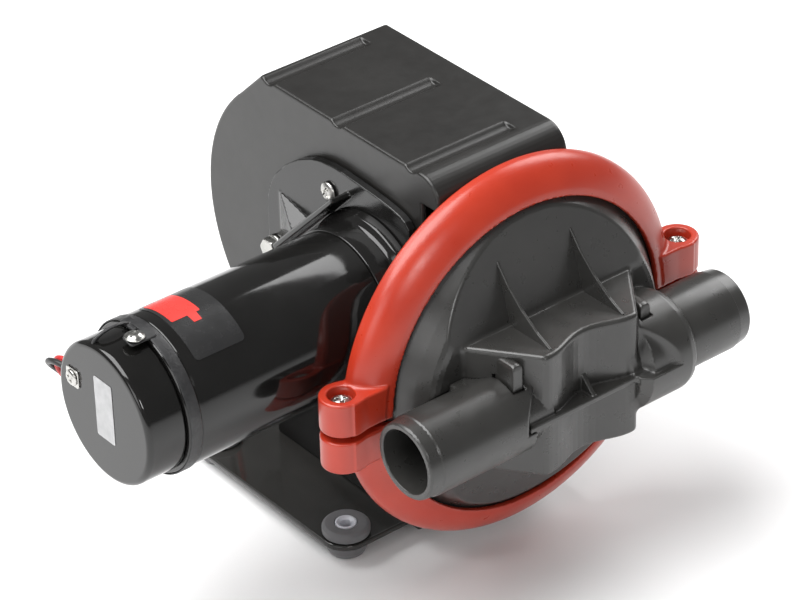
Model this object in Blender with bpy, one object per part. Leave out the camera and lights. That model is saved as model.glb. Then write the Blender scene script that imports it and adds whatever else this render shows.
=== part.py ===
"""Motor-driven diaphragm bilge pump, built from separate named pieces.

Working axes, in millimetres: X runs along the hose ports and the motor, -Y is the
front (the valve cover), +Z is up. The working origin is the centre of the clamp
ring's front face; SHIFT moves it to the middle of the footprint on the ground.
"""
import math

import bmesh
import bpy
from mathutils import Matrix, Vector

for old in list(bpy.data.objects):
    bpy.data.objects.remove(old, do_unlink=True)

MM = 0.001
SHIFT = (40.95, -69.25, 106.0)
GAP = 0.3

# Hose ports and valve cover
PORT_Y = -27.0
PORT_R = 19.0
PORT_BORE = 15.0
PORT_END = 93.4
COLLAR_R = 24.5
BLOCK_TOP = 32.0
LOCK_X0 = 34.0
LOCK_X1 = 40.0
SPIGOT_R = 15.9
STEP_X = 53.0
# Clamp ring
RING_R = 93.4
RING_DEPTH = 17.6
LUG_X = 98.3
LUG_Y = 10.0
LUG_R = 10.0
# Crank drive
CRANK_Y = 118.0
THROW = 5.0
DRIVEN_R = 45.0
DRIVE_R = 9.0
BELT_X0 = -26.0
BELT_X1 = -16.0
# Motor
MOTOR_Y = 60.0
MOTOR_Z = 22.0
CAN_R = 35.5
CAP_R = 33.5
CAP_X = -187.8
# Belt cover
COVER_X0 = -35.3
COVER_X1 = 38.8
COVER_TOP = 94.5
BACK = (110.0, 17.5)
BACK_R = 80.0
BACK_EDGE = 145.0
# Base
PLATE_TOP = -96.0
PLATE_T = 3.0
GROUND = -106.0
FEET = {"front_left": (-65, 54), "front_right": (65, 54), "rear_left": (-65, 152), "rear_right": (65, 152)}


def material(name, colour, rough, metal=0.0):
    mat = bpy.data.materials.get(name)
    if mat:
        return mat
    mat = bpy.data.materials.new(name)
    mat.use_nodes = True
    bsdf = mat.node_tree.nodes["Principled BSDF"]
    bsdf.inputs["Base Color"].default_value = (*colour, 1.0)
    bsdf.inputs["Roughness"].default_value = rough
    bsdf.inputs["Metallic"].default_value = metal
    return mat


BLACK_PAINT = ("black_paint", (0.01, 0.01, 0.011), 0.18)
BLACK_PLASTIC = ("black_plastic", (0.022, 0.022, 0.023), 0.42)
CHARCOAL = ("charcoal_plastic", (0.035, 0.036, 0.037), 0.4)
RED = ("red_plastic", (0.62, 0.05, 0.03), 0.38)
RUBBER = ("black_rubber", (0.02, 0.02, 0.02), 0.75)
VALVE_RUBBER = ("valve_rubber", (0.03, 0.03, 0.035), 0.7)
STEEL = ("bright_steel", (0.62, 0.62, 0.6), 0.28, 1.0)
CASTING = ("cast_aluminium", (0.5, 0.5, 0.5), 0.5, 0.9)
IRON = ("laminated_iron", (0.25, 0.24, 0.23), 0.5, 0.8)
COPPER = ("copper", (0.7, 0.33, 0.2), 0.35, 1.0)
FERRITE = ("ferrite", (0.05, 0.05, 0.055), 0.7)
CARBON = ("carbon", (0.04, 0.04, 0.04), 0.6)
RED_WIRE = ("red_insulation", (0.55, 0.02, 0.02), 0.45)
BLACK_WIRE = ("black_insulation", (0.015, 0.015, 0.015), 0.45)


def world(point):
    return Vector([(point[i] + SHIFT[i]) * MM for i in range(3)])


def place(axis, along, u, v):
    if axis == "X":
        return (along, u, v)
    if axis == "Y":
        return (u, along, v)
    return (u, v, along)


def finish(name, mesh_data, look, origin=(0, 0, 0), smooth=True):
    """Make an object whose mesh points are working coordinates, with its own origin."""
    mesh = bpy.data.meshes.new(name)
    base = world(origin)
    bmesh.ops.recalc_face_normals(mesh_data, faces=mesh_data.faces)
    for vert in mesh_data.verts:
        vert.co = world(vert.co) - base
    mesh_data.to_mesh(mesh)
    mesh_data.free()
    obj = bpy.data.objects.new(name, mesh)
    obj.location = base
    bpy.context.scene.collection.objects.link(obj)
    if smooth:
        mesh.shade_smooth()
        mesh.set_sharp_from_angle(angle=math.radians(35))
    if look:
        mesh.materials.append(material(*look))
    return obj


def turned(profile, axis, centre, steps=48, start=0.0, sweep=360.0):
    """Turn a closed list of (along, radius) points about an axis through centre (u, v)."""
    bm = bmesh.new()
    full = sweep > 359.9
    count = steps if full else steps + 1
    rings = []
    for along, radius in profile:
        if radius < 1e-6:
            pole = bm.verts.new(place(axis, along, centre[0], centre[1]))
            rings.append([pole] * count)
            continue
        ring = []
        for i in range(count):
            a = math.radians(start + sweep * i / steps)
            u = centre[0] + radius * math.cos(a)
            v = centre[1] + radius * math.sin(a)
            ring.append(bm.verts.new(place(axis, along, u, v)))
        rings.append(ring)
    total = len(rings)
    for k in range(total):
        lower = rings[k]
        upper = rings[(k + 1) % total]
        if profile[k][1] < 1e-6 and profile[(k + 1) % total][1] < 1e-6:
            continue
        for i in range(count if full else count - 1):
            j = (i + 1) % count
            corners = []
            for vert in (lower[i], lower[j], upper[j], upper[i]):
                if vert not in corners:
                    corners.append(vert)
            if len(corners) > 2:
                bm.faces.new(corners)
    if not full:
        bm.faces.new([ring[0] for ring in rings])
        bm.faces.new([ring[-1] for ring in reversed(rings)])
    return bm


def prism(points, axis, low, high):
    """Extrude a closed outline along an axis."""
    bm = bmesh.new()
    bottom = [bm.verts.new(place(axis, low, *p)) for p in points]
    top = [bm.verts.new(place(axis, high, *p)) for p in points]
    bm.faces.new(bottom)
    bm.faces.new(list(reversed(top)))
    n = len(points)
    for i in range(n):
        j = (i + 1) % n
        bm.faces.new([bottom[j], bottom[i], top[i], top[j]])
    return bm


def box(x0, x1, y0, y1, z0, z1):
    return prism([(x0, y0), (x1, y0), (x1, y1), (x0, y1)], "Z", z0, z1)


def rod(axis, centre, radius, low, high, steps=24):
    return turned([(low, 0), (low, radius), (high, radius), (high, 0)], axis, centre, steps)


def arc(cx, cy, radius, a0, a1, steps):
    out = []
    for i in range(steps + 1):
        a = math.radians(a0 + (a1 - a0) * i / steps)
        out.append((cx + radius * math.cos(a), cy + radius * math.sin(a)))
    return out


def rounded(x0, x1, y0, y1, radius, steps=5):
    pts = arc(x1 - radius, y1 - radius, radius, 0, 90, steps)
    pts += arc(x0 + radius, y1 - radius, radius, 90, 180, steps)
    pts += arc(x0 + radius, y0 + radius, radius, 180, 270, steps)
    pts += arc(x1 - radius, y0 + radius, radius, 270, 360, steps)
    return pts


def combine(obj, mesh_data, kind):
    """Add or remove another solid with an exact Boolean on a hidden guide object."""
    tool = finish(f"guide_{obj.name}_{len(obj.modifiers)}", mesh_data, None, smooth=False)
    tool.hide_render = True
    tool.display_type = "WIRE"
    mod = obj.modifiers.new(kind.lower(), "BOOLEAN")
    mod.operation = kind
    mod.solver = "EXACT"
    mod.object = tool


def add(obj, mesh_data):
    combine(obj, mesh_data, "UNION")


def cut(obj, *solids):
    """Remove one or more solids that stand clear of each other, in a single Boolean."""
    tool = solids[0]
    for extra in solids[1:]:
        lookup = {vert: tool.verts.new(vert.co) for vert in extra.verts}
        for face in extra.faces:
            tool.faces.new([lookup[vert] for vert in face.verts])
        extra.free()
    combine(obj, tool, "DIFFERENCE")


def hexagon(u, v, flats):
    radius = flats / math.sqrt(3)
    return [(u + radius * math.cos(math.radians(60 * i)), v + radius * math.sin(math.radians(60 * i)))
            for i in range(6)]


def tube_along(name, points, radius, look):
    """A round lead along a smooth route of working points."""
    data = bpy.data.curves.new(name, "CURVE")
    data.dimensions = "3D"
    data.bevel_depth = radius * MM
    data.bevel_resolution = 2
    data.use_fill_caps = True
    data.resolution_u = 1
    spline = data.splines.new("POLY")
    spline.points.add(len(points) - 1)
    for item, point in zip(spline.points, points):
        item.co = (*world(point), 1.0)
    obj = bpy.data.objects.new(name, data)
    bpy.context.scene.collection.objects.link(obj)
    data.materials.append(material(*look))
    return obj


def smooth_route(anchors, spacing):
    """Catmull-Rom curve through the anchors, read at an even spacing."""
    pts = [Vector(p) for p in anchors]
    pts = [pts[0] * 2 - pts[1]] + pts + [pts[-1] * 2 - pts[-2]]
    dense = []
    for k in range(1, len(pts) - 2):
        p0, p1, p2, p3 = pts[k - 1:k + 3]
        for i in range(20):
            t = i / 20
            dense.append(0.5 * (2 * p1 + (p2 - p0) * t + (2 * p0 - 5 * p1 + 4 * p2 - p3) * t * t
                                + (3 * p1 - p0 - 3 * p2 + p3) * t ** 3))
    dense.append(pts[-2])
    length = sum((b - a).length for a, b in zip(dense, dense[1:]))
    count = max(2, round(length / spacing))
    out = [dense[0]]
    travelled = 0.0
    target = length / count
    for a, b in zip(dense, dense[1:]):
        step = (b - a).length
        while travelled + step >= target * len(out) and len(out) < count:
            out.append(a.lerp(b, (target * len(out) - travelled) / step))
        travelled += step
    out.append(dense[-1])
    return out


# ---------------------------------------------------------------- base and feet
def base():
    low = PLATE_TOP - PLATE_T
    plate = finish("base_plate", prism(rounded(-77.5, 77.5, 42, 166, 12), "Z", low, PLATE_TOP), BLACK_PAINT)
    holes = []
    for key, (x, y) in FEET.items():
        holes.append(rod("Z", (x, y), 6.8, low - 1, PLATE_TOP + 1, 16))
        shape = [(GROUND, 5.4), (GROUND, 8.6), (GROUND + 2.5, 10.2), (low - GAP, 10.6), (low - GAP, 6.4),
                 (PLATE_TOP + GAP, 6.4), (PLATE_TOP + GAP, 11.3), (PLATE_TOP + 3.6, 11.3),
                 (PLATE_TOP + 5.2, 9.6), (PLATE_TOP + 5.2, 5.4)]
        finish(f"foot_{key}", turned(shape, "Z", (x, y), 12), RUBBER)
        core = [(GROUND + 0.3, 2.8), (GROUND + 0.3, 5.1), (PLATE_TOP + 5.5, 5.1), (PLATE_TOP + 5.5, 2.8)]
        finish(f"foot_sleeve_{key}", turned(core, "Z", (x, y), 12), STEEL)
    for x, y in SCREWS.values():
        holes.append(rod("Z", (x, y), 2.8, low - 1, PLATE_TOP + 1, 10))
    cut(plate, *holes)


SCREWS = {"motor_bracket_screw_front": (-24, 82), "motor_bracket_screw_rear": (-24, 126),
          "pump_body_screw_left": (-26, 56), "pump_body_screw_right": (36, 56)}


def base_screws():
    for name, (x, y) in SCREWS.items():
        top = -92.0 if "motor" in name else -90.7
        shape = [(-98.8, 0), (-98.8, 2.3), (top + GAP, 2.3), (top + GAP, 5.0), (top + 2.6, 4.4),
                 (top + 3.6, 2.6), (top + 3.6, 0)]
        finish(name, turned(shape, "Z", (x, y), 10), STEEL)


# ---------------------------------------------------------------- clamp ring
def ring_half(name, sign):
    """Half of the V-section clamp, with a lug and a screw hole at each end."""
    section = [(0, 77.2), (8.8, 92.6), (12.5, RING_R), (15.5, RING_R), (RING_DEPTH, 91.8),
               (RING_DEPTH, 79.6), (15.0, 79.6), (12.0, 85.2), (7.2, 85.2), (3.2, 77.2)]
    inset = math.degrees(math.asin(1.5 / 85.0))
    start = inset if sign > 0 else 180 + inset
    half = finish(name, turned(section, "Y", (0, 0), 22, start, 180 - 2 * inset), RED)
    bores = []
    pockets = []
    for side in (-1, 1):
        x = side * LUG_X
        outline = arc(x, LUG_Y, LUG_R, -90, 90, 8) if side > 0 else arc(x, LUG_Y, LUG_R, 90, 270, 8)
        inner = side * 88.2
        ends = [(inner, LUG_Y + 7.4), (inner, LUG_Y - 7.0)]
        outline += ends if side > 0 else list(reversed(ends))
        low, high = (1.6, 18.5) if sign > 0 else (-17.6, -1.6)
        add(half, prism(outline, "Z", low, high))
        if sign > 0:
            bore = [(-2, 0), (-2, 2.9), (13.5, 2.9), (13.5, 6.2), (20, 6.2), (20, 0)]
            bores.append(turned(bore, "Z", (x, LUG_Y), 16))
        else:
            bores.append(rod("Z", (x, LUG_Y), 2.9, -13.4, 2, 16))
            pockets.append(prism(hexagon(x, LUG_Y, 8.8), "Z", -18.6, -13.2))
    cut(half, *bores)
    if pockets:
        cut(half, *pockets)


def clamp():
    ring_half("clamp_ring_upper", 1)
    ring_half("clamp_ring_lower", -1)
    for side, word in ((-1, "left"), (1, "right")):
        x = side * LUG_X
        shape = [(-17.4, 0), (-17.4, 2.5), (13.8, 2.5), (13.8, 4.8), (15.8, 4.6), (17.0, 3.0), (17.0, 0)]
        finish(f"clamp_screw_{word}", turned(shape, "Z", (x, LUG_Y), 12), STEEL)
        nut = finish(f"clamp_nut_{word}", prism(hexagon(x, LUG_Y, 8.0), "Z", -17.5, -13.5), STEEL, smooth=False)
        cut(nut, rod("Z", (x, LUG_Y), 2.8, -19, -12, 12))


# ---------------------------------------------------------------- valve cover, ports, valves
def slanted_wedge(sign, offset):
    """Solid in front of the cover's sloping wall, above or below the valve block."""
    rise = math.tan(math.radians(17.5))
    outline = [(-60, 32), (-12.7 + offset, 32), (-12.7 + offset + 55 * rise, 87), (-60, 87)]
    return prism([(y, sign * z) for y, z in outline], "X", -90, 90)


def scallop(depth, reach):
    """Front edge of the valve block, two lobes with a hollow between them."""
    pts = []
    for i in range(13):
        x = -24 + 4.0 * i
        pts.append((x * reach, -42.3 + depth * math.cos(math.radians(x / 24 * 90)) ** 2))
    return pts


def outlet_collar():
    """Round collar for the outlet tail, its inner end cut on a slant beside the shelf."""
    end = 57.0
    shape = [(24, 0), (24, COLLAR_R), (end - 5.5, COLLAR_R), (end - 2.6, COLLAR_R - 1.0),
             (end - 0.6, COLLAR_R - 3.2), (end, 20.8), (end, 0)]
    collar = guide("guide_collar", turned(shape, "X", (PORT_Y, 0), 26))
    slant = [(20, -30), (27, -36), (39, -46), (50, -55), (20, -60)]
    cut(collar, prism(slant, "Z", 1.3, 30))
    sleeve = [(24, 0), (24, 15.8), (31, 15.8), (34.5, 20.9), (52, 20.9), (52, 0)]
    add(collar, turned(sleeve, "X", (PORT_Y, 0), 26))
    return collar


def guide(name, mesh_data):
    obj = finish(name, mesh_data, None, smooth=False)
    obj.hide_render = True
    obj.display_type = "WIRE"
    return obj


def use(obj, tool, kind):
    mod = obj.modifiers.new(kind.lower(), "BOOLEAN")
    mod.operation = kind
    mod.solver = "EXACT"
    mod.object = tool


def front_cover():
    outer = [(-12.7, 0), (-12.7, 64), (-11, 67), (-5, 71), (1, 74.8), (3.6, 76.8), (7.45, 84.8), (8.4, 84.8),
             (8.4, 0)]
    cover = finish("front_cover", turned(outer, "Y", (0, 0), 32), CHARCOAL)
    cut(cover, slanted_wedge(1, 0))
    cut(cover, slanted_wedge(-1, 0))
    cut(cover, rod("X", (PORT_Y, 0), PORT_R + 0.4, -95, -30, 24))
    block = [(-50, -11), (-27, -38)] + scallop(6.0, 1.0) + [(27, -38), (50, -11)]
    add(cover, prism(block, "Z", -31, BLOCK_TOP))
    shelf = [(-29.4, -37.5), (-38.9, -45.5), (38, -45.5), (38, -14), (-20, -14), (-20, -37.5)]
    add(cover, prism(shelf, "Z", -1.3, 1.3))
    use(cover, outlet_collar(), "UNION")
    add(cover, rod("X", (PORT_Y, 0), SPIGOT_R, -50, -22, 24))
    for side in (-1, 1):
        gx = side * 21
        add(cover, prism([(-11.5, 31), (-39, 31), (-39, 32.6), (-3.2, 60), (-1, 60)], "X", gx - 1, gx + 1))
    cavity = [(9, 0), (9, 71.6), (1, 71.2), (-5, 67.4), (-9.6, 62), (-9.6, 0)]
    hollow = guide("guide_cavity", turned(cavity, "Y", (0, 0), 28))
    cut(hollow, slanted_wedge(1, 3.2))
    cut(hollow, slanted_wedge(-1, 3.2))
    cut(hollow, rod("X", (PORT_Y, 0), 21.6, -95, -23, 20), rod("X", (PORT_Y, 0), 21.6, 23, 95, 20))
    use(cover, hollow, "DIFFERENCE")
    chambers = []
    for side in (-1, 1):
        chamber = [(side * 2, -9.0), (side * 2, -32.5), (side * 14, -35.5), (side * 22, -38.5),
                   (side * 27, -33.5), (side * 44, -13.5), (side * 44, -9.0)]
        if side < 0:
            chamber = [(-2, -9.0), (-2, -32.5), (-14, -35.5), (-19, -37.5), (-22, -33.5), (-22, -9.0)]
        chambers.append(prism(chamber, "Z", -27, 28))
    cut(cover, *chambers)
    outlet = [(20, 0), (20, 14.0), (34, 14.0), (34, PORT_R + 0.4), (96, PORT_R + 0.4), (96, 0)]
    cut(cover, turned(outlet, "X", (PORT_Y, 0), 24), rod("X", (PORT_Y, 0), 12.6, -51, -20, 20))
    cut(cover, box(LOCK_X0 - 0.3, LOCK_X1 + 0.3, -36.3, -23.7, 16.6, 30),
        box(-LOCK_X1 - 0.3, -LOCK_X0 + 0.3, -36.3, -22.0, 14.6, 20))


def ports():
    end = PORT_END
    g0 = LOCK_X0 - 0.3
    g1 = LOCK_X1 + 0.3
    shape = [(37.2, PORT_BORE), (37.2, 17.3), (g1, 17.3), (g1, PORT_R), (end - 7, PORT_R), (end, 17.9),
             (end, PORT_BORE)]
    finish("outlet_port", turned(shape, "X", (PORT_Y, 0), 24), CHARCOAL)
    inlet = [(-end, PORT_BORE), (-end, 17.9), (-end + 7, PORT_R), (-24, PORT_R), (-24, 0), (-58, 0),
             (-58, PORT_BORE)]
    tail = finish("inlet_port", turned(inlet, "X", (PORT_Y, 0), 26), CHARCOAL)
    shoulder = [(-55.5, -13), (-57, -14.5), (-57, -27), (-20, -27), (-20, -13)]
    add(tail, prism(shoulder, "Z", -17, 17))
    bore = [(-59, 0), (-59, 14.8), (-STEP_X, 14.8), (-STEP_X, SPIGOT_R + 0.3), (-15, SPIGOT_R + 0.3), (-15, 0)]
    cut(tail, box(-g1, -g0, -36.3, -20.5, 11.7, 30))
    upper = [(-53.2, -8), (-28.9, -36.5), (-40.2, -46.2), (-47, -51), (0, -60), (0, -8)]
    lower = [(-53.2, -8), (-34.3, -30.2), (-34.3, -60), (0, -60), (0, -8)]
    cut(tail, prism(upper, "Z", -1.6, 30))
    cut(tail, prism(lower, "Z", -30, -1.1))
    cut(tail, turned(bore, "X", (PORT_Y, 0), 24, 4.0))
    for side, name in ((-1, "inlet_lock"), (1, "outlet_lock")):
        back = -23.7 if side < 0 else -24.0
        plan = [(side * LOCK_X0, -30.5), (side * LOCK_X0, -36), (side * LOCK_X1, -36), (side * LOCK_X1, back)]
        low = 15.0 if side < 0 else 17.5
        key = finish(name, prism(plan, "Z", low, 29.5), CHARCOAL)
        top = arc(37.0 * side, 27.0, 3.0, 0, 180, 5) + [(37.0 * side - 4, 27.0), (37.0 * side - 4, 33),
                                                         (37.0 * side + 4, 33), (37.0 * side + 4, 27.0)]
        if side > 0:
            cut(key, prism(top, "Y", -40, -20), box(30, 37.4, -40, -20, 10, 19.0))
        else:
            cut(key, prism(top, "Y", -40, -20))


def valve(name, flange0, flange1, bill0, bill1, rim, tube):
    """Duckbill valve: a flanged rubber tube that flattens to an upright slit."""
    bm = bmesh.new()
    steps = 14
    loops = []

    def loop(x, ry, rz):
        verts = []
        for i in range(steps):
            a = 2 * math.pi * i / steps
            verts.append(bm.verts.new((x, PORT_Y + ry * math.cos(a), rz * math.sin(a))))
        loops.append(verts)

    loop(flange0, tube - 1.6, tube - 1.6)
    loop(flange0, rim, rim)
    loop(flange1, rim, rim)
    loop(flange1, tube, tube)
    loop(bill0, tube - 0.2, tube - 0.2)
    loop(bill1, 2.6, tube - 0.2)
    loop(bill1, 1.2, tube - 2.0)
    loop(bill0, tube - 2.0, tube - 2.0)
    for k in range(len(loops)):
        a = loops[k]
        b = loops[(k + 1) % len(loops)]
        for i in range(steps):
            j = (i + 1) % steps
            bm.faces.new([a[i], a[j], b[j], b[i]])
    return finish(name, bm, VALVE_RUBBER)


# ---------------------------------------------------------------- body and diaphragm
def pump_body():
    """Cast rear half of the diaphragm chamber, with its foot and the right-hand crank cheek."""
    section = [(10.9, 0), (10.9, 84.8), (11.9, 84.8), (14.7, 79.3), (17.6, 79.3), (18.6, 77.5), (18.6, 0)]
    body = finish("pump_body", turned(section, "Y", (0, 0), 32), CASTING)
    cheek = [(17, -56), (64, -92), (66, -80), (100, -24)] + arc(CRANK_Y, 0, 21, -60, 60, 6) + [(100, 24), (17, 50)]
    foot = [(18.3, -74), (46, -95.7), (66, -95.7), (66, -90.7), (48, -90.7), (24, -70), (24, -54), (18.3, -54)]
    add(body, prism(cheek, "X", 14, 19))
    add(body, rod("X", (CRANK_Y, 0), 20, 12, 23, 24))
    add(body, prism(foot, "X", -34.8, 46))
    cut(body, turned([(10, 0), (10, 70.4), (15.6, 68), (15.6, 40), (30, 40), (30, 0)], "Y", (0, 0), 28))
    bore = [(10, 0), (10, 9), (13.6, 9), (13.6, 14.3), (24, 14.3), (24, 0)]
    cut(body, turned(bore, "X", (CRANK_Y, 0), 20))
    cut(body, *[rod("Z", (x, 56), 2.8, -97, -89, 10) for x in (-26, 36)])


def diaphragm():
    shape = [(8.7, 84.8), (8.7, 66), (6.0, 60), (3.4, 51), (6.0, 42), (8.7, 36), (8.7, 3.4), (10.6, 3.4),
             (10.6, 36.5), (8.0, 43), (5.4, 51), (8.0, 59), (10.6, 65.5), (10.6, 84.8)]
    finish("diaphragm", turned(shape, "Y", (0, 0), 26), RUBBER)


# ---------------------------------------------------------------- crank train
PIN = (0.0, CRANK_Y + THROW, 0.0)
CRANK = (0.0, CRANK_Y, 0.0)
MOTOR = (0.0, MOTOR_Y, MOTOR_Z)


def crank_train():
    centre = (CRANK_Y, 0)
    shaft = [(-37.8, 0), (-37.8, 7.2), (-29, 7.2), (-29, 8.4), (-27.8, 8.4), (-27.8, 7.2), (23.5, 7.2),
             (24.5, 6.2), (24.5, 0)]
    finish("crankshaft", turned(shaft, "X", centre, 18), STEEL, CRANK)
    disc = finish("eccentric", rod("X", (CRANK_Y + THROW, 0), 15.3, -7, 7, 28), STEEL, CRANK)
    cut(disc, rod("X", centre, 7.5, -8, 8, 18))
    hub = 14.0
    wheel = [(-27, 7.5), (-27, hub), (-23, hub), (-23, DRIVEN_R - 6), (-27, DRIVEN_R - 5), (-27, DRIVEN_R + 1.6),
             (BELT_X0 - 0.3, DRIVEN_R + 1.6), (BELT_X0 - 0.3, DRIVEN_R), (BELT_X1 + 0.3, DRIVEN_R),
             (BELT_X1 + 0.3, DRIVEN_R + 1.6), (-15, DRIVEN_R + 1.6), (-15, DRIVEN_R - 5), (-19, DRIVEN_R - 6),
             (-19, hub), (-12, hub), (-12, 7.5)]
    finish("driven_pulley", turned(wheel, "X", centre, 24), CASTING, CRANK)
    for name, x0, x1 in (("crank_bearing_left", -37.8, -29.8), ("crank_bearing_right", 15.4, 22.8)):
        race = [(x0, 8.7), (x0, 13.9), (x1, 13.9), (x1, 8.7)] if x0 > 0 else [(x0, 7.5), (x0, 13.9), (x1, 13.9),
                                                                              (x1, 7.5)]
        finish(name, turned(race, "X", centre, 20), STEEL)
    finish("rod_bearing", turned([(-6, 15.9), (-6, 21.9), (6, 21.9), (6, 15.9)], "X",
                                 (CRANK_Y + THROW, 0), 28), STEEL, PIN)


def connecting_rod():
    head = [(10.9, 3.3), (10.9, 30), (13.2, 30), (15, 27), (16.5, 10), (34, 8.5), (34, 0), (28, 0), (28, 3.3)]
    link = finish("connecting_rod", turned(head, "Y", (0, 0), 20), CASTING, PIN)
    add(link, box(-4.5, 4.5, 32, CRANK_Y - 18, -8, 8))
    add(link, rod("X", (CRANK_Y + THROW, 0), 27, -6, 6, 28))
    cut(link, rod("X", (CRANK_Y + THROW, 0), 22.3, -7, 7, 28))
    plate = [(8.4, 3.4), (8.4, 30), (7.0, 30), (5.3, 27.5), (5.3, 3.4)]
    finish("diaphragm_plate", turned(plate, "Y", (0, 0), 28), STEEL, PIN)
    screw = [(1.6, 0), (1.6, 4.8), (2.4, 6), (5.0, 6), (5.0, 3), (27, 3), (27, 0)]
    finish("diaphragm_screw", turned(screw, "Y", (0, 0), 12), STEEL, PIN)


def belt():
    """Flat ribbed belt in one closed loop round both pulleys."""
    dy = CRANK_Y - MOTOR_Y
    dz = 0.0 - MOTOR_Z
    span = math.hypot(dy, dz)
    lean = math.degrees(math.atan2(dz, dy))

    def loop(extra):
        big = DRIVEN_R + extra
        small = DRIVE_R + extra
        tilt = math.degrees(math.acos((big - small) / span))
        pts = arc(CRANK_Y, 0, big, lean - (180 - tilt), lean + (180 - tilt), 28)
        pts += arc(MOTOR_Y, MOTOR_Z, small, lean + (180 - tilt), lean + (180 + tilt), 8)
        return pts

    inner = loop(0.4)
    outer = loop(2.6)
    bm = bmesh.new()
    loops = []
    for x, pts in ((BELT_X0, inner), (BELT_X0, outer), (BELT_X1, outer), (BELT_X1, inner)):
        loops.append([bm.verts.new((x, p[0], p[1])) for p in pts])
    n = len(inner)
    for k in range(4):
        a = loops[k]
        b = loops[(k + 1) % 4]
        for i in range(n):
            j = (i + 1) % n
            bm.faces.new([a[i], a[j], b[j], b[i]])
    finish("drive_belt", bm, RUBBER)


# ---------------------------------------------------------------- motor
def motor():
    centre = (MOTOR_Y, MOTOR_Z)
    can = [(-58.3, 32.9), (-58.3, CAN_R), (-167, CAN_R), (-168, 34.6), (-168, 32.9)]
    finish("motor_can", turned(can, "X", centre, 28), BLACK_PAINT)
    bell = [(-58, 32.9), (-58, CAN_R + 0.6), (-47, CAN_R + 0.6), (-44.5, 39.2), (-40.1, 40), (-40.1, 12.6),
            (-36.5, 12.6), (-36.5, 5), (-38.5, 5), (-38.5, 9.3), (-47.5, 9.3), (-47.5, 13), (-44.5, 13),
            (-44.5, 30), (-47, 32.9)]
    finish("motor_front_bell", turned(bell, "X", centre, 24), BLACK_PAINT)
    rear = [(-162, 28.4), (-162, 32.6), (-168, 32.6), (-168, 30.9), (-178, 30.9), (-178, 5), (-176.2, 5),
            (-176.2, 8.3), (-169, 8.3), (-169, 11), (-174.5, 11), (-174.5, 28.4)]
    finish("motor_rear_bell", turned(rear, "X", centre, 24), BLACK_PAINT)
    cap = [(-168.6, 31.2), (-168.6, CAP_R), (CAP_X + 2.4, CAP_R), (CAP_X + 0.7, CAP_R - 0.7), (CAP_X, CAP_R - 2.4),
           (CAP_X, 0), (-185.4, 0), (-185.4, 31.2)]
    end_cap = finish("motor_end_cap", turned(cap, "X", centre, 28), BLACK_PAINT)
    cut(end_cap, rod("X", (81.0, 31.0), 2.4, -190, -184, 12), box(-184.9, -177.1, 86, 96, 25, 29))
    screw = [(CAP_X - 2.4, 0), (CAP_X - 2.4, 2.6), (CAP_X - 1.5, 4), (CAP_X - GAP, 4.2), (CAP_X - GAP, 2.0),
             (-179.5, 2.0), (-179.5, 0)]
    finish("end_cap_screw", turned(screw, "X", (81.0, 31.0), 12), STEEL)
    strap = [(-167.6, 35.8), (-167.6, 36.6), (-161.9, 36.6), (-161.9, 35.8)]
    band = finish("brush_cover_band", turned(strap, "X", centre, 28), BLACK_PAINT)
    add(band, box(-175.5, -162.4, 58.5, 67.5, 58.2, 59.4))
    shaft = [(-181, 0), (-181, 4), (-14.5, 4), (-14.5, 0)]
    finish("motor_shaft", turned(shaft, "X", centre, 14), STEEL, MOTOR)
    core = [(-140, 4.3), (-140, 12), (-137, 21), (-132, 26), (-84, 26), (-79, 21), (-76, 12), (-76, 4.3)]
    finish("armature_core", turned(core, "X", centre, 24), IRON, MOTOR)
    comm = [(-166, 4.3), (-166, 11), (-150, 11), (-148, 12.5), (-144, 12.5), (-144, 4.3)]
    finish("commutator", turned(comm, "X", centre, 18), COPPER, MOTOR)
    for name, a0 in (("magnet_upper", 35), ("magnet_lower", 215)):
        seg = [(-145, 27.2), (-145, 32.3), (-72, 32.3), (-72, 27.2)]
        finish(name, turned(seg, "X", centre, 14, a0, 110), FERRITE)
    for name, z0, z1 in (("brush_upper", 11.4, 24), ("brush_lower", -24, -11.4)):
        finish(name, box(-162, -153, MOTOR_Y - 4, MOTOR_Y + 4, MOTOR_Z + z0, MOTOR_Z + z1), CARBON, smooth=False)
    for name, x0, x1 in (("motor_bearing_front", -46.5, -39), ("motor_bearing_rear", -176, -170)):
        outer = 9.0 if x1 > -100 else 8.0
        finish(name, turned([(x0, 4.3), (x0, outer), (x1, outer), (x1, 4.3)], "X", centre, 16), STEEL)
    wheel = [(-28, 4.3), (-28, DRIVE_R + 1.6), (BELT_X0 - 0.3, DRIVE_R + 1.6), (BELT_X0 - 0.3, DRIVE_R),
             (BELT_X1 + 0.3, DRIVE_R), (BELT_X1 + 0.3, DRIVE_R + 1.6), (-14.8, DRIVE_R + 1.6), (-14.8, 4.3)]
    finish("drive_pulley", turned(wheel, "X", centre, 20), STEEL, MOTOR)


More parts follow.
